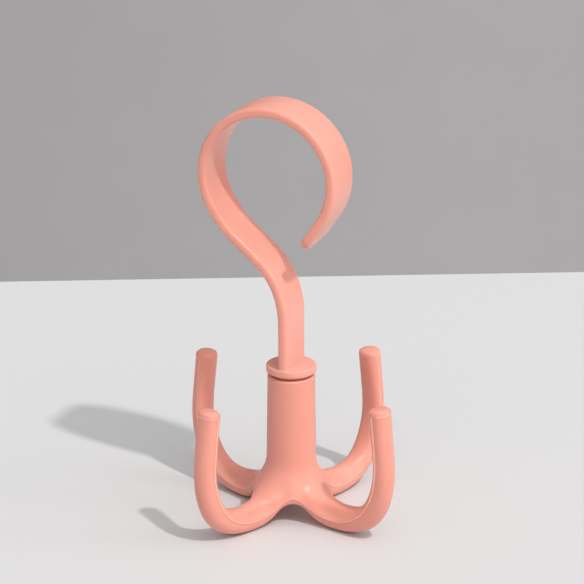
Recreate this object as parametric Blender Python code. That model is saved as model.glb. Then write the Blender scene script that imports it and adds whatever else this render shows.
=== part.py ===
# Hanger with four up-turned claws and a swivelling top hook, moulded in coral polypropylene.
# Two mouldings snap together: the claw base, with its hollow post, and the hook, whose stem
# turns in the post and is held by split barbs under the post's floor.
# Origin: on the swivel axis, on the surface that the claws stand on. The hook lies in the XZ plane.
import math

import bmesh
import bpy
from mathutils import Matrix, Vector

mm = 0.001
degree = math.pi / 180

# Fits and cuts
touch_gap = 0.3 * mm
cut_overrun = 2 * mm
smooth_angle = 35 * degree

# Post of the claw base
post_height = 56.9 * mm
post_top_radius = 9.25 * mm
post_foot_radius = 9.6 * mm
post_rim_chamfer = 0.45 * mm
bore_radius = 6.9 * mm
flare_height = 25.2 * mm

# Hub, where the post spreads into the claws
saddle_radius = 14.6 * mm
hub_lip_height = 9.7 * mm
hub_rim_depth = 2.5 * mm
hub_rim_bulge = 0.7 * mm
floor_height = 8 * mm
floor_thickness = 3 * mm
floor_hole_radius = 4.2 * mm
underside_radius = 10.8 * mm
columns = 16

# Claws
claw_count = 4
first_claw_angle = -19.6 * degree
foot_radius = 27.6 * mm
bend_radius = 21 * mm
upright_lean = 6.8 * degree
tip_height = 54.7 * mm
tip_edge = 3 * mm
crown_rise_share = 0.1
claw_width = 9.2 * mm
claw_depth = 7.6 * mm
foot_depth = 10.4 * mm
foot_flat_depth = 0.35 * mm
root_radius = 13.4 * mm
root_width = 16.4 * mm
root_top_height = 15.8 * mm
root_bottom_height = 3.3 * mm
root_bow = 1.6 * mm
inner_corner_share = 0.8
outer_corner_share = 0.79
bend_steps = 6

# Collar and stem of the hook
collar_radius = 9.75 * mm
collar_thickness = 2.7 * mm
collar_edge = 1.1 * mm
shoulder_radius = 7.9 * mm
shoulder_thickness = 1.1 * mm
spigot_clearance = 0.7 * mm
spigot_length = 12 * mm
spigot_chamfer = 0.6 * mm
rod_clearance = 0.7 * mm
barb_overhang = 0.7 * mm
barb_land = 1 * mm
barb_length = 4.2 * mm
barb_tip_radius = 2.6 * mm
slot_width = 1.8 * mm
slot_length = 21 * mm
turned_sides = 40
edge_steps = 3

# Strip of the hook: its section, then its runs from the collar to the tip
strip_thickness = 3.75 * mm
strip_foot_width = 18.5 * mm
strip_width = 19.5 * mm
strip_corner = 1 * mm
full_corner_share = 0.45
strip_sink = 1.6 * mm
stem_length = 18 * mm
neck_radius = 38.5 * mm
neck_turn = 16.1 * degree
shoulder_bend_radius = 29.6 * mm
shoulder_bend_turn = 33.8 * degree
rise_length = 12.5 * mm
entry_radius = 39.8 * mm
entry_turn = 23.8 * degree
loop_left_radius = 26.5 * mm
loop_left_turn = 86.4 * degree
loop_right_radius = 26.1 * mm
loop_right_turn = 157.3 * degree
tip_length = 12.6 * mm
tip_corner = 8 * mm
strip_arc_step = 7.5 * degree
tip_steps = 6
corner_steps = 3

coral = "#F9AD9A"


def linear_colour(hex_text):
    """Scene-linear colour of an sRGB hex value."""
    channels = [int(hex_text[i:i + 2], 16) / 255 for i in (1, 3, 5)]
    linear = [c / 12.92 if c <= 0.04045 else ((c + 0.055) / 1.055) ** 2.4 for c in channels]
    return (*linear, 1)


def clear_scene():
    for thing in list(bpy.data.objects):
        bpy.data.objects.remove(thing, do_unlink=True)


def moulded_plastic(name):
    """Coral polypropylene with a satin moulded skin."""
    material = bpy.data.materials.new(name)
    material.use_nodes = True
    shader = material.node_tree.nodes["Principled BSDF"]
    shader.inputs["Base Color"].default_value = linear_colour(coral)
    shader.inputs["Roughness"].default_value = 0.36
    shader.inputs["Metallic"].default_value = 0
    material.diffuse_color = linear_colour(coral)
    return material


def add_object(name, mesh_builder, material=None):
    """Object made from a filled bmesh, with all faces pointing out."""
    bmesh.ops.recalc_face_normals(mesh_builder, faces=mesh_builder.faces)
    mesh = bpy.data.meshes.new(name)
    mesh_builder.to_mesh(mesh)
    mesh_builder.free()
    mesh.shade_smooth()
    mesh.set_sharp_from_angle(angle=smooth_angle)
    thing = bpy.data.objects.new(name, mesh)
    bpy.context.collection.objects.link(thing)
    if material:
        mesh.materials.append(material)
    return thing


def add_cutter(name, mesh_builder):
    cutter = add_object(name, mesh_builder)
    cutter.hide_render = True
    cutter.display_type = "WIRE"
    return cutter


def box_mesh(low, high):
    builder = bmesh.new()
    size = [high[i] - low[i] for i in range(3)]
    middle = [(high[i] + low[i]) / 2 for i in range(3)]
    bmesh.ops.create_cube(builder, size=1, matrix=Matrix.Translation(middle) @ Matrix.Diagonal((*size, 1)))
    return builder


def add_boolean(thing, other, operation):
    cut = thing.modifiers.new(operation.lower() + "_" + other.name, "BOOLEAN")
    cut.operation = operation
    cut.object = other
    cut.solver = "EXACT"


def swell(step):
    """Share by which a cage round a circle stands outside the smooth surface that it makes."""
    return 3 / (2 + math.cos(step))


def bridge(builder, lower, upper):
    """Faces between two closed rings with as many points each."""
    count = len(lower)
    for i in range(count):
        j = (i + 1) % count
        builder.faces.new((lower[i], lower[j], upper[j], upper[i]))


def crease_ring(builder, ring):
    creases = builder.edges.layers.float.get("crease_edge") or builder.edges.layers.float.new("crease_edge")
    for i, point in enumerate(ring):
        edge = builder.edges.get((point, ring[(i + 1) % len(ring)]))
        edge[creases] = 1


# Claw base


def post_ring(builder, between, beside, along):
    """Ring of the post's columns. Each pair is (radius, height): between two claws,
    beside a claw and along a claw's own middle plane."""
    ring = []
    quarter = columns // claw_count
    for column in range(columns):
        place = column % quarter
        radius, height = between if place == 0 else along if place == quarter // 2 else beside
        angle = first_claw_angle + (column - quarter / 2) * 2 * math.pi / columns
        radius *= swell(2 * math.pi / columns)
        ring.append(builder.verts.new((radius * math.cos(angle), radius * math.sin(angle), height)))
    return ring


def even_ring(builder, radius, height):
    return post_ring(builder, (radius, height), (radius, height), (radius, height))


def claw_ring(builder, claw_angle, middle, heading, half_width, half_depth, bow=0):
    """Eight-sided ring across a claw, from its left upper edge round to its left side.
    middle is (radius, height); heading is the claw's direction, 0 outwards and 90 degrees up."""
    inner, outer = inner_corner_share, outer_corner_share
    ring_shares = ((-inner, inner), (0, 1), (inner, inner), (1, 0),
                   (outer, -outer), (0, -1), (-outer, -outer), (-1, 0))
    inward = Vector((-math.sin(heading), math.cos(heading)))
    turn = Matrix.Rotation(claw_angle, 3, "Z")
    grow = swell(math.pi / 4)
    ring = []
    for side_share, depth_share in ring_shares:
        radius = middle[0] + inward[0] * depth_share * half_depth * grow + bow * (1 - side_share ** 2)
        height = middle[1] + inward[1] * depth_share * half_depth * grow
        ring.append(builder.verts.new(turn @ Vector((radius, side_share * half_width * grow, height))))
    return ring


def root_stations():
    """Stations from the hub to the foot: (middle, heading, half width, half depth, bow)."""
    root_shares = (0, 0.33, 0.7)
    stations = []
    for share in root_shares:
        ease = (1 - share) ** 2
        radius = root_radius + (foot_radius - root_radius) * share
        top = foot_depth - foot_flat_depth + (root_top_height - foot_depth) * ease
        bottom = root_bottom_height * ease - foot_flat_depth
        half_width = (claw_width + (root_width - claw_width) * ease) / 2
        stations.append(((radius, (top + bottom) / 2), 0, half_width, (top - bottom) / 2, root_bow * ease))
    return stations


def bend_stations():
    """Stations round the bend, from the foot to where the upright starts."""
    sweep = math.pi / 2 + upright_lean
    step = sweep / bend_steps
    centre_height = foot_depth / 2 - foot_flat_depth + bend_radius
    stations = []
    for i in range(bend_steps + 1):
        heading = sweep * i / bend_steps
        share = math.sin(min(heading, math.pi / 2)) ** 3
        half_depth = (foot_depth + (claw_depth - foot_depth) * share) / 2
        reach = bend_radius * swell(step)
        middle = (foot_radius + reach * math.sin(heading), centre_height - reach * math.cos(heading))
        stations.append((middle, heading, claw_width / 2, half_depth, 0))
    return stations


def tip_stations(last_middle):
    """Stations up the leaning upright and over its rounded end, then the end's middle point."""
    heading = math.pi / 2 + upright_lean
    ahead = Vector((math.cos(heading), math.sin(heading)))
    length = (tip_height - last_middle[1]) / ahead[1]
    # Each row is (way back from the end as a share of the edge, size as a share of the claw)
    end_shares = ((1.7, 1), (0.75, 1), (0.06, 0.88), (-0.1, 0.45))
    stations = []
    for back_share, size_share in end_shares:
        middle = Vector(last_middle) + ahead * (length - tip_edge * back_share)
        stations.append((tuple(middle), heading, claw_width / 2 * size_share, claw_depth / 2 * size_share, 0))
    crown = Vector(last_middle) + ahead * (length + tip_edge * crown_rise_share)
    return stations, tuple(crown)


def add_claw(builder, claw_angle):
    """One claw's skin, from the hub to its closed tip. Gives back its first ring."""
    stations = root_stations() + bend_stations()
    tips, crown = tip_stations(stations[-1][0])
    rings = [claw_ring(builder, claw_angle, *station) for station in stations + tips]
    for near, far in zip(rings, rings[1:]):
        bridge(builder, near, far)
    turn = Matrix.Rotation(claw_angle, 3, "Z")
    middle = builder.verts.new(turn @ Vector((crown[0], 0, crown[1])))
    last = rings[-1]
    for i in range(1, len(last), 2):
        j = (i + 1) % len(last)
        k = (i + 2) % len(last)
        builder.faces.new((last[i], last[j], last[k], middle))
    return rings[0]


def saddle_points(builder, angle):
    """Lip, middle and lower edge of the hub's rim between two claws."""
    points = []
    for height_share, bulge_share in ((1, 0), (0, 1), (-1, 0)):
        radius = saddle_radius + hub_rim_bulge * bulge_share
        height = hub_lip_height + hub_rim_depth / 2 * height_share
        points.append(builder.verts.new((radius * math.cos(angle), radius * math.sin(angle), height)))
    return points


def claw_base_mesh():
    """Cage of the post, hub and claws as one closed skin, open only into the bore."""
    builder = bmesh.new()
    rim_radius = post_top_radius - post_rim_chamfer
    floor_top = floor_height + floor_thickness
    flare_drop = flare_height - hub_lip_height
    spread = saddle_radius - post_foot_radius

    rim_inner = even_ring(builder, bore_radius, post_height)
    rim_outer = even_ring(builder, rim_radius, post_height)
    rim_lower = even_ring(builder, post_top_radius, post_height - post_rim_chamfer)
    post_foot = even_ring(builder, post_foot_radius, flare_height)
    flare_rows = []
    # Each row: (spread share, drop share) between the claws, beside a claw and along it
    flare_shares = (((0.12, 0.30), (0.12, 0.28), (0.13, 0.27)),
                    ((0.42, 0.62), (0.46, 0.58), (0.46, 0.53)),
                    ((0.72, 0.84), (0.86, 0.80), (0.86, 0.68)))
    for row in flare_shares:
        places = [(post_foot_radius + spread * out, flare_height - flare_drop * down) for out, down in row]
        flare_rows.append(post_ring(builder, *places))
    outer_rings = [rim_inner, rim_outer, rim_lower, post_foot] + flare_rows
    for upper, lower in zip(outer_rings, outer_rings[1:]):
        bridge(builder, lower, upper)

    underside = even_ring(builder, underside_radius, floor_height)
    hole_bottom = even_ring(builder, floor_hole_radius, floor_height)
    hole_top = even_ring(builder, floor_hole_radius, floor_top)
    bore_bottom = even_ring(builder, bore_radius, floor_top)
    inner_rings = [underside, hole_bottom, hole_top, bore_bottom, rim_inner]
    for first, second in zip(inner_rings, inner_rings[1:]):
        bridge(builder, first, second)

    quarter = columns // claw_count
    pitch = 2 * math.pi / claw_count
    saddles = [saddle_points(builder, first_claw_angle + (claw - 0.5) * pitch) for claw in range(claw_count)]
    skin = flare_rows[-1]
    for claw in range(claw_count):
        ring = add_claw(builder, first_claw_angle + claw * pitch)
        top = [skin[(claw * quarter + i) % columns] for i in range(quarter + 1)]
        low = [underside[(claw * quarter + i) % columns] for i in range(quarter + 1)]
        before = saddles[claw]
        after = saddles[(claw + 1) % claw_count]
        patches = ((top[0], top[1], ring[0], before[0]), (top[1], top[2], ring[1], ring[0]),
                   (top[2], top[3], ring[2], ring[1]), (top[3], top[4], after[0], ring[2]),
                   (before[0], ring[0], ring[7], before[1]), (before[1], ring[7], ring[6], before[2]),
                   (ring[2], after[0], after[1], ring[3]), (ring[3], after[1], after[2], ring[4]),
                   (low[0], before[2], ring[6], low[1]), (low[1], ring[6], ring[5], low[2]),
                   (low[2], ring[5], ring[4], low[3]), (low[3], ring[4], after[2], low[4]))
        for patch in patches:
            builder.faces.new(patch)

    for ring in (rim_inner, rim_outer, rim_lower, hole_bottom, hole_top, bore_bottom):
        crease_ring(builder, ring)
    return builder


def make_claw_base(material):
    base = add_object("claw_base", claw_base_mesh(), material)
    smooth = base.modifiers.new("smooth_skin", "SUBSURF")
    smooth.levels = 1
    smooth.render_levels = 1
    reach = foot_radius + bend_radius + claw_depth + cut_overrun
    ground = add_cutter("ground_cut", box_mesh((-reach, -reach, -reach), (reach, reach, 0)))
    add_boolean(base, ground, "DIFFERENCE")
    return base


# Swivel hook


def strip_path():
    """Stations (x, z, heading) along the strip's middle, from inside the collar to the tip."""
    collar_top = post_height + touch_gap + shoulder_thickness + collar_thickness
    x, z, heading = 0, collar_top - strip_sink, math.pi / 2
    stations = [(x, z, heading)]

    def run_straight(length):
        nonlocal x, z
        x += length * math.cos(heading)
        z += length * math.sin(heading)
        stations.append((x, z, heading))

    def run_bend(radius, turn):
        """Bend by turn, to the left where it is above 0, as chords on the true arc."""
        nonlocal x, z, heading
        steps = max(2, round(abs(turn) / strip_arc_step))
        step = turn / steps
        chord = 2 * radius * math.sin(abs(step) / 2)
        for _ in range(steps):
            heading += step / 2
            x += chord * math.cos(heading)
            z += chord * math.sin(heading)
            heading += step / 2
            stations.append((x, z, heading))

    run_straight(strip_sink + stem_length)
    run_bend(neck_radius, neck_turn)
    run_bend(shoulder_bend_radius, shoulder_bend_turn)
    run_straight(rise_length)
    run_bend(entry_radius, -entry_turn)
    run_bend(loop_left_radius, -loop_left_turn)
    run_bend(loop_right_radius, -loop_right_turn)
    run_straight(tip_length - tip_corner)
    for i in range(1, tip_steps + 1):
        here = math.sin(math.pi / 2 * i / tip_steps)
        before = math.sin(math.pi / 2 * (i - 1) / tip_steps)
        run_straight(tip_corner * (here - before))
    return stations


def strip_ring(builder, x, z, heading, thickness, width, corner):
    """Rounded oblong across the strip, width along Y."""
    outward = Vector((-math.sin(heading), 0, math.cos(heading)))
    ring = []
    for quarter, (side_out, side_across) in enumerate(((1, 1), (-1, 1), (-1, -1), (1, -1))):
        for i in range(corner_steps + 1):
            angle = (quarter + i / corner_steps) * math.pi / 2
            out = side_out * (thickness / 2 - corner) + corner * math.cos(angle)
            across = side_across * (width / 2 - corner) + corner * math.sin(angle)
            ring.append(builder.verts.new(Vector((x, across, z)) + outward * out))
    return ring


def strip_mesh():
    builder = bmesh.new()
    stations = strip_path()
    widening_end = len(stations) // 2
    rings = []
    for i, (x, z, heading) in enumerate(stations):
        share = min(1, i / widening_end)
        width = strip_foot_width + (strip_width - strip_foot_width) * share
        steps_left = len(stations) - 1 - i
        thickness = strip_thickness
        if steps_left < tip_steps:
            # Round the tip in plan, and thin its last ring by the strip's own corner
            rounding = math.cos(math.pi / 2 * (tip_steps - steps_left) / tip_steps)
            width -= 2 * tip_corner * (1 - rounding)
            if steps_left == 0:
                thickness -= strip_corner
        corner = min(strip_corner, thickness * full_corner_share, width * full_corner_share)
        rings.append(strip_ring(builder, x, z, heading, thickness, width, corner))
    for near, far in zip(rings, rings[1:]):
        bridge(builder, near, far)
    builder.faces.new(rings[0])
    builder.faces.new(rings[-1])
    return builder


def stem_profile():
    """Turned outline of the collar, shoulder, spigot, rod and barbs, from top to bottom."""
    shoulder_bottom = post_height + touch_gap
    collar_bottom = shoulder_bottom + shoulder_thickness
    collar_top = collar_bottom + collar_thickness
    spigot_radius = bore_radius - spigot_clearance
    spigot_bottom = shoulder_bottom - spigot_length
    rod_radius = floor_hole_radius - rod_clearance
    barb_radius = floor_hole_radius + barb_overhang
    barb_top = floor_height - touch_gap
    outline = []
    for i in range(edge_steps + 1):
        angle = math.pi / 2 * (1 - i / edge_steps)
        outline.append((collar_radius - collar_edge * (1 - math.cos(angle)),
                        collar_top - collar_edge * (1 - math.sin(angle))))
    for i in range(edge_steps + 1):
        angle = math.pi / 2 * i / edge_steps
        outline.append((collar_radius - collar_edge * (1 - math.cos(angle)),
                        collar_bottom + collar_edge * (1 - math.sin(angle))))
    outline += [(shoulder_radius, collar_bottom), (shoulder_radius, shoulder_bottom),
                (spigot_radius, shoulder_bottom), (spigot_radius, spigot_bottom + spigot_chamfer),
                (spigot_radius - spigot_chamfer, spigot_bottom), (rod_radius, spigot_bottom),
                (rod_radius, barb_top), (barb_radius, barb_top), (barb_radius, barb_top - barb_land),
                (barb_tip_radius, barb_top - barb_length)]
    return outline


def stem_mesh():
    builder = bmesh.new()
    rings = []
    for radius, height in stem_profile():
        ring = []
        for side in range(turned_sides):
            angle = 2 * math.pi * side / turned_sides
            ring.append(builder.verts.new((radius * math.cos(angle), radius * math.sin(angle), height)))
        rings.append(ring)
    for upper, lower in zip(rings, rings[1:]):
        bridge(builder, lower, upper)
    builder.faces.new(rings[0])
    builder.faces.new(rings[-1])
    return builder


def make_swivel_hook(material):
    hook = add_object("swivel_hook", stem_mesh(), material)
    strip = add_cutter("strip_guide", strip_mesh())
    add_boolean(hook, strip, "UNION")
    barb_bottom = floor_height - touch_gap - barb_length
    half_slot = slot_width / 2
    reach = floor_hole_radius + barb_overhang + cut_overrun
    slot = add_cutter("barb_slot_cut", box_mesh((-half_slot, -reach, barb_bottom - cut_overrun),
                                                (half_slot, reach, barb_bottom + slot_length)))
    add_boolean(hook, slot, "DIFFERENCE")
    return hook


clear_scene()
make_claw_base(moulded_plastic("coral_base_plastic"))
make_swivel_hook(moulded_plastic("coral_hook_plastic"))
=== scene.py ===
import math

import bmesh
import bpy
from mathutils import Matrix, Vector


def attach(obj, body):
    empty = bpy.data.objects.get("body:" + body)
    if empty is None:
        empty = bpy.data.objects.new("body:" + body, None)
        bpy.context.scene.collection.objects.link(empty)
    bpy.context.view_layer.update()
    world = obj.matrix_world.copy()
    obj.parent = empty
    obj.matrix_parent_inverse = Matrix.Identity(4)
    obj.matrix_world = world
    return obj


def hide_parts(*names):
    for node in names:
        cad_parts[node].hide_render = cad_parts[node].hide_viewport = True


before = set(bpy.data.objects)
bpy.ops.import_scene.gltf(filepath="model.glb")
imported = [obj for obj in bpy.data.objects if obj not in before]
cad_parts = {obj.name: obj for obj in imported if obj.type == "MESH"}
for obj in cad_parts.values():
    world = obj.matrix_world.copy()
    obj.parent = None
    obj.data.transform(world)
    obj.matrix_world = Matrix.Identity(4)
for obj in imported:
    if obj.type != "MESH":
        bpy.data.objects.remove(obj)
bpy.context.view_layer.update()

mm = 0.001
rightAngle = math.pi / 2
mergeDistance = 0.001 * mm


# Shared helpers

def linearColour(hexText):
    channels = [int(hexText[i:i + 2], 16) / 255 for i in (1, 3, 5)]
    return tuple(c / 12.92 if c <= 0.04045 else ((c + 0.055) / 1.055) ** 2.4 for c in channels) + (1,)


def addNode(tree, kind, inputs=None, **settings):
    node = tree.nodes.new(kind)
    for name, value in settings.items():
        setattr(node, name, value)
    for socket, source in (inputs or {}).items():
        if isinstance(source, bpy.types.NodeSocket):
            tree.links.new(source, node.inputs[socket])
        else:
            node.inputs[socket].default_value = source
    return node


def addObject(name, builder):
    bmesh.ops.remove_doubles(builder, verts=builder.verts, dist=mergeDistance)
    bmesh.ops.recalc_face_normals(builder, faces=builder.faces)
    mesh = bpy.data.meshes.new(name)
    builder.to_mesh(mesh)
    builder.free()
    mesh.shade_smooth()
    thing = bpy.data.objects.new(name, mesh)
    bpy.context.collection.objects.link(thing)
    return thing


def addTree(name, inputs):
    # inputs is a table of (name, socket type, value)
    tree = bpy.data.node_groups.new(name, "GeometryNodeTree")
    tree.interface.new_socket("Geometry", in_out="INPUT", socket_type="NodeSocketGeometry")
    for label, kind, value in inputs:
        socket = tree.interface.new_socket(label, in_out="INPUT", socket_type=kind)
        if value is not None:
            socket.default_value = value
    tree.interface.new_socket("Geometry", in_out="OUTPUT", socket_type="NodeSocketGeometry")
    return tree


def runTree(thing, tree, values, material):
    # Runs the tree on the object and leaves a plain mesh
    modifier = thing.modifiers.new(tree.name, "NODES")
    modifier.node_group = tree
    for item in tree.interface.items_tree:
        if item.item_type == "SOCKET" and item.in_out == "INPUT" and item.name in values:
            modifier[item.identifier] = values[item.name]
    depsgraph = bpy.context.evaluated_depsgraph_get()
    mesh = bpy.data.meshes.new_from_object(thing.evaluated_get(depsgraph), depsgraph=depsgraph)
    thing.modifiers.clear()
    thing.data = mesh
    mesh.materials.clear()
    mesh.materials.append(material)
    for name in ("crease_edge", "crease_vert"):
        if name in mesh.attributes:
            mesh.attributes.remove(mesh.attributes[name])


# Moulded polypropylene

plastic = {
    "hookColour": "#EAA494",
    "baseColour": "#E69E8E",
    "lipHighlightColour": "#FBC4B4",
    "driftSize": 22.2,
    "sheenSize": 7.7,
    "grainSize": 0.606,
    "waveSize": 9.1,
    "roughness": 0.34,
    "ior": 1.49,
    "specular": 0.3,  # a matt mould skin mirrors less than polished resin
    "subsurface": 0.6,
    "subsurfaceRadius": (1.0, 0.25, 0.12),
    "subsurfaceScale": 3.5 * mm,
}


def mouldedPolypropylene(name, colour):
    # Injection-moulded polypropylene copolymer, straight from a satin tool. The eye gets an even coral
    # with a soft gloss, light that creeps a few millimetres in, and a very fine skin from the steel.
    material = bpy.data.materials.new(name)
    material.use_nodes = True
    tree = material.node_tree
    shader = tree.nodes["Principled BSDF"]
    place = addNode(tree, "ShaderNodeTexCoord").outputs["Object"]

    # Slow drift of pigment, a few millimetres to centimetres across
    drift = addNode(tree, "ShaderNodeTexNoise", {
        "Vector": place, "Scale": 1 / (plastic["driftSize"] * mm), "Detail": 3.0, "Roughness": 0.55})
    tint = addNode(tree, "ShaderNodeMix", {
        "Factor": drift.outputs["Fac"],
        6: tuple(c * 0.975 for c in linearColour(colour)[:3]) + (1,),
        7: tuple(min(c * 1.025, 1) for c in linearColour(colour)[:3]) + (1,),
    }, data_type="RGBA")
    # Painted highlight: the lip line along the parting edge is coloured paler, standing in for the light it
    # catches
    line = addNode(tree, "ShaderNodeAttribute", attribute_name="lip_line")
    edge = addNode(tree, "ShaderNodeMapRange", {"Value": line.outputs["Fac"], "From Min": 0.5, "From Max": 0.95})
    pale = addNode(tree, "ShaderNodeMix", {
        "Factor": edge.outputs["Result"], 6: tint.outputs[2], 7: linearColour(plastic["lipHighlightColour"])},
        data_type="RGBA")
    tree.links.new(pale.outputs[2], shader.inputs["Base Color"])

    # Gloss varies where the melt met the steel at different pressures
    sheen = addNode(tree, "ShaderNodeTexNoise", {
        "Vector": place, "Scale": 1 / (plastic["sheenSize"] * mm), "Detail": 2.0})
    gloss = addNode(tree, "ShaderNodeMapRange", {
        "Value": sheen.outputs["Fac"], "From Min": 0.3, "From Max": 0.7,
        "To Min": plastic["roughness"] - 0.03, "To Max": plastic["roughness"] + 0.04})
    tree.links.new(gloss.outputs["Result"], shader.inputs["Roughness"])

    # Spark-finish grain is about 0.05 mm and too fine to show, so it is drawn at about 0.6 mm
    grain = addNode(tree, "ShaderNodeTexNoise", {
        "Vector": place, "Scale": 1 / (plastic["grainSize"] * mm), "Detail": 1.0})
    # Shrinkage leaves long, shallow waves about 9 mm apart
    wave = addNode(tree, "ShaderNodeTexNoise", {
        "Vector": place, "Scale": 1 / (plastic["waveSize"] * mm), "Detail": 0.0})
    skin = addNode(tree, "ShaderNodeBump", {
        "Height": grain.outputs["Fac"], "Strength": 0.12, "Distance": 0.03 * mm})
    waves = addNode(tree, "ShaderNodeBump", {
        "Height": wave.outputs["Fac"], "Normal": skin.outputs["Normal"], "Strength": 0.2, "Distance": 0.25 * mm})
    tree.links.new(waves.outputs["Normal"], shader.inputs["Normal"])

    shader.inputs["IOR"].default_value = plastic["ior"]
    shader.inputs["Specular IOR Level"].default_value = plastic["specular"]
    shader.inputs["Metallic"].default_value = 0
    shader.inputs["Subsurface Weight"].default_value = plastic["subsurface"]
    shader.inputs["Subsurface Radius"].default_value = plastic["subsurfaceRadius"]
    shader.inputs["Subsurface Scale"].default_value = plastic["subsurfaceScale"]
    return material


basePlastic = mouldedPolypropylene("satinPolypropyleneBase", plastic["baseColour"])
hookPlastic = mouldedPolypropylene("satinPolypropyleneHook", plastic["hookColour"])
print("materials ready")


# Hook strip: a flat bar with rounded edges, bent along its path

strip = {
    "thickness": 3.9,
    "footWidth": 18.5,
    "width": 19.5,
    "edgeRadius": 1.4,
    "edgeSteps": 6,
    "tipCorner": 4.6,
    "cornerSteps": 18,
    "endSteps": 3,
    "footFillet": 0.4,
    "filletSteps": 5,
    "collarTop": 61.2,
    "sink": 1.2,
    "step": 0.9,
    "pathStep": 0.5,
    # Straight lengths and (radius, turn) bends from the collar to the tip, left turns above 0
    "runs": (17.8, (38.5, 16.1), (29.6, 33.8), 12.5, (39.8, -23.8), (26.5, -86.4), (26.4, -154.0), 12.8),
}


def stripPath():
    x, z, heading = 0.0, strip["collarTop"] - strip["sink"], rightAngle
    points = [(x, z)]
    runs = (strip["sink"] + strip["runs"][0],) + strip["runs"][1:]
    length = 0
    for run in runs:
        radius, turn = run if isinstance(run, tuple) else (None, 0)
        reach = abs(math.radians(turn)) * radius if radius else run
        count = max(2, round(reach / strip["pathStep"]))
        turnStep = math.radians(turn) / count
        chord = 2 * radius * math.sin(abs(turnStep) / 2) if radius else reach / count
        for _ in range(count):
            heading += turnStep / 2
            x += chord * math.cos(heading)
            z += chord * math.sin(heading)
            heading += turnStep / 2
            points.append((x, z))
            length += chord
    curve = bpy.data.curves.new("hookPath", "CURVE")
    curve.dimensions = "3D"
    spline = curve.splines.new("POLY")
    spline.points.add(len(points) - 1)
    for point, (x, z) in zip(spline.points, points):
        point.co = (x * mm, 0, z * mm, 1)
    path = bpy.data.objects.new("hookPath", curve)
    bpy.context.collection.objects.link(path)
    return path, length


def stripOutline(length):
    # Left edge from the foot round to the middle of the end: (along, across, inward normal, swelling)
    corner = strip["tipCorner"]
    outline = []
    straight = length - corner
    fillet = strip["footFillet"]
    places = [0, strip["sink"] * 0.5]
    steps = strip["filletSteps"]
    places += [strip["sink"] + fillet * (1 - math.cos(rightAngle * i / steps)) for i in range(steps + 1)]
    count = round((straight - places[-1]) / strip["step"])
    places += [places[-1] + (straight - places[-1]) * (i + 1) / count for i in range(count)]
    for along in places:
        above = along - strip["sink"]
        swelling = 0
        if above < fillet:
            swelling = fillet - math.sqrt(max(fillet ** 2 - (fillet - max(above, 0)) ** 2, 0))
        widen = min(1, along / (length / 2))
        half = (strip["footWidth"] + (strip["width"] - strip["footWidth"]) * widen) / 2
        outline.append((along, half, (0, 1), swelling))
    half = strip["width"] / 2
    steps = strip["cornerSteps"]
    for i in range(1, steps + 1):
        angle = rightAngle * i / steps
        outline.append((straight + corner * math.sin(angle), half - corner + corner * math.cos(angle),
                        (math.sin(angle), math.cos(angle)), 0))
    flat = half - corner
    steps = strip["endSteps"]
    for i in range(1, steps + 1):
        outline.append((length, flat * (1 - i / steps), (1, 0), 0))
    return outline


def flatStrip(length):
    builder = bmesh.new()
    rows = []
    for along, across, normal, swelling in stripOutline(length):
        radius = strip["edgeRadius"] + swelling
        half = strip["thickness"] / 2 + swelling
        profile = []
        for i in range(strip["edgeSteps"] + 1):
            angle = rightAngle * (1 - i / strip["edgeSteps"])
            profile.append((radius * (1 - math.cos(angle)), half - radius * (1 - math.sin(angle))))
        profile += [(inset, -height) for inset, height in reversed(profile)]
        row = []
        for side in (-1, 1):
            for inset, height in profile:
                u = along - normal[0] * (inset - swelling)
                v = max(across - normal[1] * (inset - swelling), 0) * side
                row.append(builder.verts.new((u * mm, v * mm, height * mm)))
        rows.append(row)
    count = len(rows[0]) // 2
    for near, far in zip(rows, rows[1:]):
        for start in (0, count):
            for i in range(start, start + count - 1):
                builder.faces.new((near[i], near[i + 1], far[i + 1], far[i]))
        builder.faces.new((near[0], far[0], far[count], near[count]))
        builder.faces.new((near[count - 1], near[-1], far[-1], far[count - 1]))
    first = rows[0]
    builder.faces.new(first[:count] + first[:count - 1:-1])
    return builder


def bendTree():
    # Carries each point of the flat bar to its place along the path
    tree = addTree("bendAlongPath", (("Path", "NodeSocketObject", None),
                                     ("Material", "NodeSocketMaterial", None)))
    source = addNode(tree, "NodeGroupInput")
    path = addNode(tree, "GeometryNodeObjectInfo", {"Object": source.outputs["Path"]})
    spot = addNode(tree, "ShaderNodeSeparateXYZ", {0: addNode(tree, "GeometryNodeInputPosition").outputs[0]})
    sample = addNode(tree, "GeometryNodeSampleCurve", {
        "Curves": path.outputs["Geometry"], "Length": spot.outputs["X"]}, mode="LENGTH", use_all_curves=True)
    outward = addNode(tree, "ShaderNodeVectorMath", {0: sample.outputs["Tangent"], 1: (0, 1, 0)},
                      operation="CROSS_PRODUCT")
    unit = addNode(tree, "ShaderNodeVectorMath", {0: outward.outputs[0]}, operation="NORMALIZE")
    lift = addNode(tree, "ShaderNodeVectorMath", {0: unit.outputs[0], "Scale": spot.outputs["Z"]},
                   operation="SCALE")
    side = addNode(tree, "ShaderNodeCombineXYZ", {"Y": spot.outputs["Y"]})
    offset = addNode(tree, "ShaderNodeVectorMath", {0: lift.outputs[0], 1: side.outputs[0]}, operation="ADD")
    place = addNode(tree, "ShaderNodeVectorMath", {0: sample.outputs["Position"], 1: offset.outputs[0]},
                    operation="ADD")
    bent = addNode(tree, "GeometryNodeSetPosition", {
        "Geometry": source.outputs["Geometry"], "Position": place.outputs[0]})
    real = addNode(tree, "GeometryNodeRealizeInstances", {0: bent.outputs[0]})
    done = addNode(tree, "GeometryNodeSetMaterial", {
        "Geometry": real.outputs[0], "Material": source.outputs["Material"]})
    addNode(tree, "NodeGroupOutput", {0: done.outputs[0]})
    return tree


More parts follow.
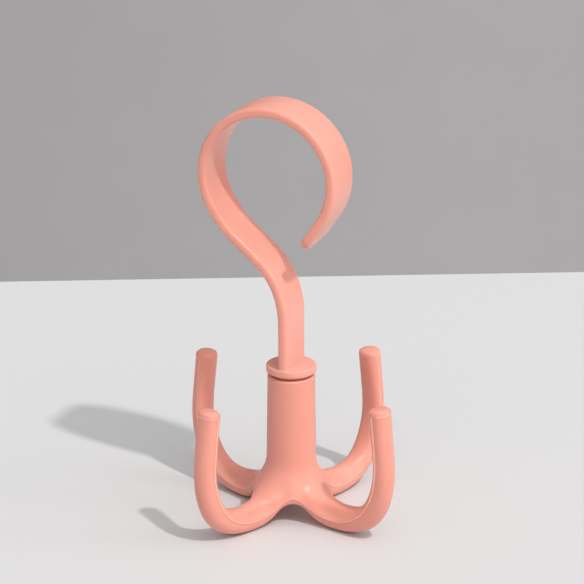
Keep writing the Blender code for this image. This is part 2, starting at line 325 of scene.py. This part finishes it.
hookPath, hookLength = stripPath()
hookStrip = addObject("hookStrip", flatStrip(hookLength))
runTree(hookStrip, bendTree(), {"Path": hookPath, "Material": hookPlastic}, hookPlastic)
bpy.data.objects.remove(hookPath)
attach(hookStrip, "hook")
print("hook strip", round(hookLength, 1), "mm long")


# Collar, spigot, rod and snap barbs, turned round the swivel axis

stem = {
    "collarRadius": 9.75,
    "collarBottom": 58.3,
    "collarTop": 61.2,
    "topEdge": 0.7,
    "bottomEdge": 0.5,
    "shoulderRadius": 7.9,
    "shoulderBottom": 57.2,
    "spigotRadius": 6.2,
    "spigotBottom": 45.2,
    "spigotChamfer": 0.6,
    "rodRadius": 3.5,
    "barbTop": 7.7,
    "barbRadius": 4.9,
    "barbLand": 1.0,
    "barbTip": 2.6,
    "barbLength": 4.2,
    "slotWidth": 1.8,
    "slotTop": 24.5,
    "overrun": 2.0,
    "smallBevel": 0.15,
    "sides": 128,
    "roundSteps": 6,
    "sharpAngle": 32.0,
}


def stemProfile():
    s = stem
    outline = [(0, s["collarTop"])]
    for i in range(s["roundSteps"] + 1):
        angle = rightAngle * i / s["roundSteps"]
        outline.append((s["collarRadius"] - s["topEdge"] * (1 - math.sin(angle)),
                        s["collarTop"] - s["topEdge"] * (1 - math.cos(angle))))
    for i in range(s["roundSteps"] + 1):
        angle = rightAngle * i / s["roundSteps"]
        outline.append((s["collarRadius"] - s["bottomEdge"] * (1 - math.cos(angle)),
                        s["collarBottom"] + s["bottomEdge"] * (1 - math.sin(angle))))
    chamfer = s["spigotChamfer"]
    bevel = s["smallBevel"]
    outline += [(s["shoulderRadius"], s["collarBottom"]),
                (s["shoulderRadius"], s["shoulderBottom"] + bevel),
                (s["shoulderRadius"] - bevel, s["shoulderBottom"]),
                (s["spigotRadius"], s["shoulderBottom"]),
                (s["spigotRadius"], s["spigotBottom"] + chamfer),
                (s["spigotRadius"] - chamfer, s["spigotBottom"]),
                (s["rodRadius"], s["spigotBottom"]),
                (s["rodRadius"], s["barbTop"]),
                (s["barbRadius"] - bevel, s["barbTop"]),
                (s["barbRadius"], s["barbTop"] - bevel),
                (s["barbRadius"], s["barbTop"] - s["barbLand"]),
                (s["barbTip"], s["barbTop"] - s["barbLength"]),
                (0, s["barbTop"] - s["barbLength"])]
    return outline


def turnedStem():
    builder = bmesh.new()
    rings = []
    for radius, height in stemProfile():
        ring = []
        for side in range(stem["sides"]):
            angle = 2 * math.pi * side / stem["sides"]
            across, along = radius * math.cos(angle), radius * math.sin(angle)
            ring.append(builder.verts.new((across * mm, along * mm, height * mm)))
        rings.append(ring)
    for upper, lower in zip(rings, rings[1:]):
        for i in range(stem["sides"]):
            j = (i + 1) % stem["sides"]
            builder.faces.new((lower[i], lower[j], upper[j], upper[i]))
    return builder


hookStem = addObject("hookStem", turnedStem())
slotBuilder = bmesh.new()
slotLow = stem["barbTop"] - stem["barbLength"] - stem["overrun"]
slotMiddle = (slotLow + stem["slotTop"]) / 2
slotSize = (stem["slotWidth"] * mm, 4 * stem["barbRadius"] * mm, (stem["slotTop"] - slotLow) * mm)
bmesh.ops.create_cube(slotBuilder, size=1, matrix=Matrix.Translation((0, 0, slotMiddle * mm))
                      @ Matrix.Diagonal((*slotSize, 1)))
slotCutter = addObject("slotCutter", slotBuilder)
slotCut = hookStem.modifiers.new("slot", "BOOLEAN")
slotCut.operation = "DIFFERENCE"
slotCut.object = slotCutter
slotCut.solver = "EXACT"
evaluated = bpy.context.evaluated_depsgraph_get()
stemMesh = bpy.data.meshes.new_from_object(hookStem.evaluated_get(evaluated), depsgraph=evaluated)
hookStem.modifiers.clear()
hookStem.data = stemMesh
bpy.data.objects.remove(slotCutter)
stemMesh.materials.clear()
stemMesh.materials.append(hookPlastic)
stemMesh.shade_smooth()
stemMesh.set_sharp_from_angle(angle=math.radians(stem["sharpAngle"]))
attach(hookStem, "hook")
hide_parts("swivel_hook")
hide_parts("swivel_hook")
print("hook stem ready")


# Claw base: a quarter cage with one claw, repeated round the axis and subdivided

post = {
    "topRadius": 9.25,
    "footRadius": 9.6,
    "height": 56.9,
    "rimRound": 0.5,
    "rimDraft": 0.01,
    "boreLead": 0.4,
    "holdBelowRim": 3.0,  # rings that keep the post straight above the flare
    "holdAboveFlare": 4.0,
    "boreRadius": 6.9,
    "floorTop": 11.0,
    "floorBottom": 8.0,
    "holeRadius": 4.2,
    "undersideRadius": 10.8,
    "flareTop": 24.5,
    "columns": 8,  # steps in each quarter turn
    # Rows of the flare: (radius, height) between the claws, then step by step to the claw's middle
    "flareRows": (
        ((9.65, 22.4), (9.65, 22.4), (9.65, 22.4), (9.65, 22.4), (9.65, 22.4)),
        ((10.1, 19.8), (10.1, 19.8), (10.2, 19.8), (10.3, 19.8), (10.3, 19.8)),
        ((11.2, 17.4), (11.25, 17.4), (11.4, 17.2), (11.6, 17.0), (11.7, 17.0)),
        ((13.6, 14.1), (13.2, 13.9), (13.4, 13.8), (14.0, 13.8), (14.3, 13.7)),
    ),
    # Saddle between two claws: above the lip, lip, groove under it, lower edge
    "saddle": ((14.5, 13.2), (14.9, 11.7), (14.35, 11.0), (14.3, 8.0)),
}

claw = {
    "count": 4,
    "firstAngle": -19.6,
    "tipHeight": 54.7,
    "domeRise": 2.6,
    "cornerIn": 0.45,
    "cornerLean": 0.35,  # more of it where the inner face is arched
    "lipRise": 0.12,
    "lipBand": 0.45,
    "grooveDepth": 0.35,
    "grooveDrop": 0.5,
    "flank": (0.5, 0.86),  # shares of the half width and of the rise from shoulder to middle
    "outerSide": ((0.97, 0.3), (0.83, 0.68), (0.46, 0.97)),  # shares of half width and outer depth
    "capSide": ((0.97, 0.3), (0.84, 0.68), (0.47, 0.97)),
    "outerMiddle": 1.05,
    "underLip": (0.15, 0.2),  # the outer half starts this far in from the lip and below it
    "underCap": (-0.05, 0.2),
    # Along the parting line: radius, height, heading, half width, then from the line the shoulder and
    # the middle of the inner face and the middle of the outer face, and the bow in plan
    "stations": (
        (13.3, 8.9, 0, 7.9, 2.4, 2.9, 5.9, 4.4),
        (16.4, 6.3, 0, 6.7, 2.3, 4.8, 5.7, 2.9),
        (20.3, 4.75, 0, 5.85, 2.1, 6.0, 5.1, 1.2),
        (24.2, 4.2, 0, 5.4, 2.0, 6.1, 4.75, 0.3),
        (28.0, 4.4, 8, 5.2, 2.0, 5.7, 4.8, 0),
        (32.1, 5.4, 19, 5.1, 2.1, 5.1, 5.2, 0),
        (36.0, 7.15, 30, 4.95, 2.1, 4.1, 5.6, 0),
        (39.9, 10.1, 42, 4.8, 1.9, 3.15, 6.1, 0),
        (43.3, 14.5, 56, 4.7, 1.7, 2.6, 6.1, 0),
        (45.9, 20.4, 71, 4.6, 1.7, 2.2, 5.6, 0),
        (47.2, 27.0, 84, 4.6, 1.4, 2.05, 5.0, 0),
        (47.2, 33.6, 94, 4.6, 1.5, 2.25, 4.75, 0),
        (46.4, 41.0, 96.4, 4.6, 1.7, 2.6, 4.6, 0),
    ),
    "endDepths": (1.95, 3.2, 4.5),
    "endShares": (0.5, 0.85, 0.97, 1.0),
    "capLedge": 0.1,
    "capCentre": 0.88,
    "cap": ((1.1, 1.0), (2.0, 0.93), (2.5, 0.74), (2.68, 0.4)),  # rise above the rim, share of the size
    "creases": {"rim": 0.55, "floor": 0.8, "lip": 0.45, "groove": 0.75, "ledge": 0.4, "shoulder": 0.3, "end": 0.7},
    "shoulderRings": 5,
    "join": 0.01,
    "smoothLevel": 2,
    "footHeight": -0.5,  # what the rounded undersides stand on, so their edges stay clear of the table
}


def cageSwell(step):
    # Smoothing pulls a round of points inwards by this factor, so they start that much further out
    return 3 / (2 + math.cos(step))


def clawSection(half, shoulder, crown, outer):
    # Eighteen points, over the inner face from left to right and back round the outer face:
    # five on the inner face, right lip (above it, on it, groove), seven on the outer face, left lip
    corner = min(claw["cornerIn"], 0.5 * shoulder) + claw["cornerLean"] * max(0, crown - shoulder)
    groove, lip = claw["grooveDepth"], claw["lipRise"]
    edge = (half - corner, shoulder)
    flank = (claw["flank"][0] * half, shoulder + claw["flank"][1] * (crown - shoulder))
    face = [(-edge[0], edge[1]), (-flank[0], flank[1]), (0, crown), flank, edge]
    rise = claw["lipBand"] * min(1, shoulder)
    right = [(half - 0.02, rise), (half + lip, -0.05), (half - groove, -claw["grooveDrop"])]
    side = [(wide * half, -deep * outer) for wide, deep in claw["outerSide"]]
    side[0] = (side[0][0] - claw["underLip"][0], side[0][1] - claw["underLip"][1])
    left = [(-x, y) for x, y in reversed(right)]
    middle = [(0, -claw["outerMiddle"] * outer)]
    return face + right + side + middle + [(-x, y) for x, y in reversed(side)] + left


def clawRing(builder, lip, heading, half, shoulder, crown, outer, bow):
    inward = (-math.sin(heading), math.cos(heading))
    ring = []
    for across, deep in clawSection(half, shoulder, crown, outer):
        radius = lip[0] + inward[0] * deep + bow * max(0, 1 - (across / half) ** 2)
        height = lip[1] + inward[1] * deep
        ring.append(builder.verts.new((radius * mm, across * mm, height * mm)))
    return ring


def clawSkin(builder):
    rings = []
    for radius, height, turn, *shape in claw["stations"]:
        rings.append(clawRing(builder, (radius, height), math.radians(turn), *shape))
    radius, height, turn, half, *depths, bow = claw["stations"][-1]
    heading = math.radians(turn)
    ahead = Vector((math.cos(heading), math.sin(heading)))
    inward = Vector((-math.sin(heading), math.cos(heading)))
    start = Vector((radius, height))
    length = (claw["tipHeight"] - claw["domeRise"] - height) / ahead[1]
    shoulder, crown, outer = claw["endDepths"]
    for share in claw["endShares"]:
        middle = start + ahead * length * share
        section = [depth + (final - depth) * share for depth, final in zip(depths, claw["endDepths"])]
        rings.append(clawRing(builder, middle, heading, half, *section, bow))
    for near, far in zip(rings, rings[1:]):
        for i in range(len(near)):
            j = (i + 1) % len(near)
            builder.faces.new((near[i], near[j], far[j], far[i]))

    # The end cap belongs to the inner half: its rim stands a little proud of the outer face
    last = rings[-1]
    end = start + ahead * length
    lip = claw["lipRise"]

    def capRing(rise, size):
        # Fourteen points: seven over the inner face from lip to lip, seven round the outer face
        arched = clawSection(half, shoulder, crown, outer)
        upper = [arched[17]] + arched[:6]
        outside = outer + lip
        lower = [(wide * half, -deep * outside) for wide, deep in claw["capSide"]]
        lower[0] = (lower[0][0] - claw["underCap"][0], lower[0][1] - claw["underCap"][1])
        lower += [(0, -claw["outerMiddle"] * outside)] + [(-x, y) for x, y in reversed(lower)]
        centre = (claw["capCentre"] * crown - outside) / 2
        points = []
        for across, deep in upper + lower:
            spot = end + ahead * rise + inward * (centre + (deep - centre) * size)
            points.append(builder.verts.new((spot[0] * mm, across * size * mm, spot[1] * mm)))
        return points

    return rings, last, capRing


def quarterCage():
    builder = bmesh.new()
    creases = builder.edges.layers.float.new("crease_edge")
    lipLine = builder.verts.layers.float.new("lip_line")
    count = post["columns"]
    columns = [math.radians(-45 + 90 * i / count) for i in range(count + 1)]
    swell = cageSwell(math.radians(90 / count))

    def postRow(places):
        # places holds (radius, height) from between the claws to the claw's middle
        row = []
        for i, angle in enumerate(columns):
            radius, height = places[min(i, count - i)]
            row.append(builder.verts.new((radius * swell * math.cos(angle) * mm,
                                          radius * swell * math.sin(angle) * mm, height * mm)))
        return row

    def evenRow(radius, height):
        return postRow(((radius, height),) * (count // 2 + 1))

    p = post
    rim, lead = p["rimRound"], p["boreLead"]
    outside = [evenRow(p["boreRadius"], p["height"] - lead), evenRow(p["boreRadius"] + lead, p["height"]),
               evenRow(p["topRadius"] - rim, p["height"]), evenRow(p["topRadius"], p["height"] - rim),
               evenRow(p["topRadius"] + p["rimDraft"], p["height"] - p["holdBelowRim"]),
               evenRow(p["footRadius"], p["flareTop"] + p["holdAboveFlare"]),
               evenRow(p["footRadius"], p["flareTop"])] + [postRow(row) for row in p["flareRows"]]
    inside = [evenRow(p["undersideRadius"], p["floorBottom"]), evenRow(p["holeRadius"], p["floorBottom"]),
              evenRow(p["holeRadius"], p["floorTop"]), evenRow(p["boreRadius"], p["floorTop"]), outside[0]]
    for rows in (outside, inside):
        for first, second in zip(rows, rows[1:]):
            for i in range(count):
                builder.faces.new((first[i], first[i + 1], second[i + 1], second[i]))

    saddles = []
    for angle in (columns[0], columns[-1]):
        across, along = math.cos(angle) * mm, math.sin(angle) * mm
        saddles.append([builder.verts.new((radius * across, radius * along, height * mm))
                        for radius, height in p["saddle"]])
    before, after = saddles
    rings, last, capRing = clawSkin(builder)
    ring = rings[0]
    upper = [before[0], ring[17]] + ring[:5] + [ring[5], after[0]]
    lower = [before[3], ring[14], ring[13], ring[12], ring[11], ring[10], ring[9], ring[8], after[3]]
    for chain, row in ((upper, outside[-1]), (lower, inside[0])):
        for i in range(count):
            builder.faces.new((row[i], row[i + 1], chain[i + 1], chain[i]))
    for saddle, side in ((before, (17, 16, 15, 14)), (after, (5, 6, 7, 8))):
        for i in range(3):
            builder.faces.new((saddle[i], ring[side[i]], ring[side[i + 1]], saddle[i + 1]))

    # The end cap: its rim joins the inner face directly and the outer face over a small ledge
    ledge = capRing(claw["capLedge"], 1.0)
    joined = [17, 0, 1, 2, 3, 4, 5]
    for i, source in enumerate(joined):
        builder.verts.remove(ledge[i])
        ledge[i] = last[source]
    outerEnd = [last[i] for i in range(5, 18)]  # right lip round to left lip
    ledgeRow = ledge[6:] + [ledge[0]]
    # Right lip corner (band, lip, groove), then the outer side and the left corner
    builder.faces.new((outerEnd[0], outerEnd[1], outerEnd[2], ledgeRow[1]))
    builder.faces.new((outerEnd[2], outerEnd[3], ledgeRow[1]))
    for i in range(3, 9):
        builder.faces.new((outerEnd[i], outerEnd[i + 1], ledgeRow[i - 1], ledgeRow[i - 2]))
    builder.faces.new((outerEnd[10], outerEnd[11], outerEnd[12], ledgeRow[7]))
    builder.faces.new((outerEnd[9], outerEnd[10], ledgeRow[7]))
    capRings = [ledge] + [capRing(rise, size) for rise, size in claw["cap"]]
    for near, far in zip(capRings, capRings[1:]):
        for i in range(len(near)):
            j = (i + 1) % len(near)
            builder.faces.new((near[i], near[j], far[j], far[i]))
    crown = capRings[-1]
    # Close the crown with a strip of quads across it, left to right
    for a, b, c, d in ((0, 1, 12, 13), (1, 2, 11, 12), (2, 3, 10, 11), (3, 4, 9, 10), (4, 5, 8, 9), (5, 6, 7, 8)):
        builder.faces.new((crown[a], crown[b], crown[c], crown[d]))

    def crease(points, amount):
        for first, second in zip(points, points[1:]):
            edge = builder.edges.get((first, second))
            if edge:
                edge[creases] = amount

    sharpness = claw["creases"]
    for row in outside[:4]:
        crease(row, sharpness["rim"])
    for row in inside[1:4]:
        crease(row, sharpness["floor"])
    for saddle, side in ((before, (17, 16, 15, 14)), (after, (5, 6, 7, 8))):
        crease([saddle[1]] + [r[side[1]] for r in rings], sharpness["lip"])
        crease([saddle[2]] + [r[side[2]] for r in rings], sharpness["groove"])
    crease(ledgeRow, sharpness["ledge"])
    # The shoulder of the inner half is a little crisper round the foot of the post
    for saddle, corner in ((before, 0), (after, 4)):
        crease([saddle[0]] + [r[corner] for r in rings[:claw["shoulderRings"]]], sharpness["shoulder"])
    crease(outerEnd[2:11], sharpness["end"])
    # These points on the lip lines and the cap ledge get the painted highlight in the material
    for point in [before[1], after[1]] + [r[i] for r in rings for i in (6, 16)] + ledgeRow[1:-1]:
        point[lipLine] = 1
    return builder


def clawTree():
    # Repeats the quarter cage round the axis, joins and smooths it, and flattens what stands on the floor
    tree = addTree("clawsRoundPost", (("Claws", "NodeSocketInt", 4), ("First Angle", "NodeSocketFloat", 0.0),
                                      ("Smoothness", "NodeSocketInt", 2), ("Join", "NodeSocketFloat", 0.00001),
                                      ("Floor Height", "NodeSocketFloat", 0.0),
                                      ("Material", "NodeSocketMaterial", None)))
    source = addNode(tree, "NodeGroupInput")
    spots = addNode(tree, "GeometryNodeMeshLine", {"Count": source.outputs["Claws"], "Offset": (0, 0, 0)})
    number = addNode(tree, "GeometryNodeInputIndex")
    pitch = addNode(tree, "ShaderNodeMath", {0: 2 * math.pi, 1: source.outputs["Claws"]}, operation="DIVIDE")
    turn = addNode(tree, "ShaderNodeMath", {
        0: number.outputs[0], 1: pitch.outputs[0], 2: source.outputs["First Angle"]}, operation="MULTIPLY_ADD")
    rotation = addNode(tree, "ShaderNodeCombineXYZ", {"Z": turn.outputs[0]})
    copies = addNode(tree, "GeometryNodeInstanceOnPoints", {
        "Points": spots.outputs[0], "Instance": source.outputs["Geometry"], "Rotation": rotation.outputs[0]})
    whole = addNode(tree, "GeometryNodeRealizeInstances", {0: copies.outputs[0]})
    joined = addNode(tree, "GeometryNodeMergeByDistance", {
        "Geometry": whole.outputs[0], "Distance": source.outputs["Join"]})
    sharp = addNode(tree, "GeometryNodeInputNamedAttribute", {"Name": "crease_edge"}, data_type="FLOAT")
    smooth = addNode(tree, "GeometryNodeSubdivisionSurface", {
        "Mesh": joined.outputs[0], "Level": source.outputs["Smoothness"], "Edge Crease": sharp.outputs[0]})
    place = addNode(tree, "ShaderNodeSeparateXYZ", {0: addNode(tree, "GeometryNodeInputPosition").outputs[0]})
    height = addNode(tree, "ShaderNodeMath", {0: place.outputs["Z"], 1: source.outputs["Floor Height"]},
                     operation="MAXIMUM")
    flat = addNode(tree, "ShaderNodeCombineXYZ", {
        "X": place.outputs["X"], "Y": place.outputs["Y"], "Z": height.outputs[0]})
    standing = addNode(tree, "GeometryNodeSetPosition", {
        "Geometry": smooth.outputs[0], "Position": flat.outputs[0]})
    real = addNode(tree, "GeometryNodeRealizeInstances", {0: standing.outputs[0]})
    done = addNode(tree, "GeometryNodeSetMaterial", {
        "Geometry": real.outputs[0], "Material": source.outputs["Material"]})
    addNode(tree, "NodeGroupOutput", {0: done.outputs[0]})
    return tree


clawBase = addObject("clawBase", quarterCage())
runTree(clawBase, clawTree(), {
    "Claws": claw["count"], "First Angle": math.radians(claw["firstAngle"]), "Smoothness": claw["smoothLevel"],
    "Join": claw["join"] * mm, "Floor Height": claw["footHeight"] * mm, "Material": basePlastic}, basePlastic)
tidy = bmesh.new()
tidy.from_mesh(clawBase.data)
bmesh.ops.recalc_face_normals(tidy, faces=tidy.faces)
openEdges = sum(1 for edge in tidy.edges if len(edge.link_faces) != 2)
tidy.to_mesh(clawBase.data)
tidy.free()
clawBase.data.shade_smooth()
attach(clawBase, "base")
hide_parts("claw_base")
print("claw base", len(clawBase.data.polygons), "faces,", openEdges, "open edges")


# Table top, light and camera

view = {
    "azimuth": 23.3,
    "elevation": 19.5,
    "distance": 1275.0,
    "aimHeight": 90.4,
    "aimSide": 0.27,
    "lens": 205.1,
}
viewRight = Vector((math.cos(math.radians(view["azimuth"])), math.sin(math.radians(view["azimuth"])), 0))
viewAhead = Vector((-viewRight.y, viewRight.x, 0))
up = Vector((0, 0, 1))

table = {
    "colour": "#D2D2D3",
    "wallLeft": "#A3A1A1",
    "wallRight": "#ACAAAA",
    "farEdge": 278.0,
    "farTilt": 2.9,
    "nearEdge": -1500.0,
    "side": 1100.0,
    "thickness": 30.0,
    "toothSize": 1.11,
    "tooth": 0.05,
}


def paleLaminate():
    # Matt melamine-faced board: a flat pale grey with a slight tooth
    material = bpy.data.materials.new("mattLaminateTable")
    material.use_nodes = True
    tree = material.node_tree
    shader = tree.nodes["Principled BSDF"]
    place = addNode(tree, "ShaderNodeTexCoord").outputs["Object"]
    tooth = addNode(tree, "ShaderNodeTexNoise", {
        "Vector": place, "Scale": 1 / (table["toothSize"] * mm), "Detail": 2.0})
    bump = addNode(tree, "ShaderNodeBump", {
        "Height": tooth.outputs["Fac"], "Strength": 0.08, "Distance": table["tooth"] * mm})
    tree.links.new(bump.outputs["Normal"], shader.inputs["Normal"])
    shader.inputs["Base Color"].default_value = linearColour(table["colour"])
    shader.inputs["Roughness"].default_value = 0.6
    return material


tableBuilder = bmesh.new()
corners = []
for height in (claw["footHeight"], claw["footHeight"] - table["thickness"]):
    near, far = table["nearEdge"], table["farEdge"]
    for side, depth in ((-1, near), (1, near), (1, far), (-1, far)):
        reach = side * table["side"]
        skew = reach * math.tan(math.radians(table["farTilt"])) if depth > 0 else 0
        spot = viewRight * reach + viewAhead * (depth + skew)
        corners.append(tableBuilder.verts.new((spot.x * mm, spot.y * mm, height * mm)))
tableBuilder.faces.new(corners[:4])
tableBuilder.faces.new(corners[4:])
for i in range(4):
    j = (i + 1) % 4
    tableBuilder.faces.new((corners[i], corners[j], corners[4 + j], corners[4 + i]))
tableTop = addObject("tableTop", tableBuilder)
tableTop.data.shade_flat()
tableTop.data.materials.append(paleLaminate())

lights = {
    "keyWay": (-0.45, 0.60, -1.0),  # to the right, away from the camera, up
    "keySpread": 2.4,
    "keyStrength": 1.62,
    "keyColour": "#FFFCF9",
    "windowFrom": (1300.0, -260.0, 420.0),
    "windowSize": (360.0, 900.0),
    "windowPower": 3.0,
    "skyLow": 0.1,
    "skyRise": 0.55,
    "skyFront": 1.2,
    "frontWay": (0.45, -0.89, 0.0),
}


def aimLamp(data, place, direction):
    lamp = bpy.data.objects.new(data.name, data)
    bpy.context.collection.objects.link(lamp)
    lamp.location = place
    lamp.rotation_euler = direction.to_track_quat("-Z", "Y").to_euler()
    return lamp


def viewVector(parts):
    return viewRight * parts[0] + viewAhead * parts[1] + up * parts[2]


sun = bpy.data.lights.new("keyLight", "SUN")
sun.angle = math.radians(lights["keySpread"])
sun.energy = lights["keyStrength"]
sun.color = linearColour(lights["keyColour"])[:3]
keyWay = viewVector(lights["keyWay"]).normalized()
aimLamp(sun, -keyWay, keyWay)

window = bpy.data.lights.new("windowLight", "AREA")
window.shape = "RECTANGLE"
window.size, window.size_y = (side * mm for side in lights["windowSize"])
window.energy = lights["windowPower"]
windowPlace = viewVector(lights["windowFrom"]) * mm
aimLamp(window, windowPlace, (up * 60 * mm - windowPlace).normalized())

# The room: brighter overhead and in front than at the back. The camera sees the wall's grey past the table
world = bpy.data.worlds.new("room")
bpy.context.scene.world = world
world.use_nodes = True
worldTree = world.node_tree
worldTree.nodes.clear()
skyWay = addNode(worldTree, "ShaderNodeTexCoord").outputs["Generated"]
toSky = addNode(worldTree, "ShaderNodeSeparateXYZ", {0: skyWay})
overhead = addNode(worldTree, "ShaderNodeMapRange", {
    "Value": toSky.outputs["Z"], "From Min": 0.0, "From Max": 1.0,
    "To Min": lights["skyLow"], "To Max": lights["skyLow"] + lights["skyRise"]})
toFront = addNode(worldTree, "ShaderNodeVectorMath", {0: skyWay, 1: viewVector(lights["frontWay"]).normalized()},
                  operation="DOT_PRODUCT")
raised = addNode(worldTree, "ShaderNodeMath", {0: toFront.outputs["Value"], 1: toSky.outputs["Z"]},
                 operation="MULTIPLY")
front = addNode(worldTree, "ShaderNodeMapRange", {
    "Value": raised.outputs["Value"], "From Min": 0.0, "From Max": 0.5,
    "To Min": 0.0, "To Max": lights["skyFront"]})
skyLevel = addNode(worldTree, "ShaderNodeMath", {0: overhead.outputs["Result"], 1: front.outputs["Result"]},
                   operation="ADD")
rays = addNode(worldTree, "ShaderNodeLightPath")
room = addNode(worldTree, "ShaderNodeBackground", {"Strength": skyLevel.outputs["Value"]})
room.inputs["Color"].default_value = (1, 1, 1, 1)
# The wall seen past the table: a grey a little lighter to the right, with a faint mottle
toRight = addNode(worldTree, "ShaderNodeVectorMath", {0: skyWay, 1: viewRight}, operation="DOT_PRODUCT")
mottle = addNode(worldTree, "ShaderNodeTexNoise", {"Vector": skyWay, "Scale": 55.0, "Detail": 4.0})
across = addNode(worldTree, "ShaderNodeMapRange", {
    "Value": toRight.outputs["Value"], "From Min": -0.09, "From Max": 0.05, "To Min": -0.25, "To Max": 0.75})
spread = addNode(worldTree, "ShaderNodeMath", {0: mottle.outputs["Fac"], 1: 0.5, 2: across.outputs["Result"]},
                 operation="MULTIPLY_ADD")
wallGrey = addNode(worldTree, "ShaderNodeMix", {
    "Factor": spread.outputs["Value"], 6: linearColour(table["wallLeft"]), 7: linearColour(table["wallRight"])},
    data_type="RGBA")
wall = addNode(worldTree, "ShaderNodeBackground", {"Color": wallGrey.outputs[2], "Strength": 1.0})
shown = addNode(worldTree, "ShaderNodeMixShader", {
    0: rays.outputs["Is Camera Ray"], 1: room.outputs[0], 2: wall.outputs[0]})
addNode(worldTree, "ShaderNodeOutputWorld", {"Surface": shown.outputs[0]})

cameraData = bpy.data.cameras.new("camera")
cameraData.lens = view["lens"]
cameraData.sensor_width = 36
cameraData.clip_end = 20
camera = bpy.data.objects.new("camera", cameraData)
bpy.context.collection.objects.link(camera)
pitch = math.radians(view["elevation"])
look = viewAhead * math.cos(pitch) - up * math.sin(pitch)
aim = viewRight * view["aimSide"] * mm + up * view["aimHeight"] * mm
camera.location = aim - look * view["distance"] * mm
camera.rotation_euler = look.to_track_quat("-Z", "Y").to_euler()
bpy.context.scene.camera = camera
bpy.context.scene.view_settings.view_transform = "Standard"
print("table, lights and camera ready")
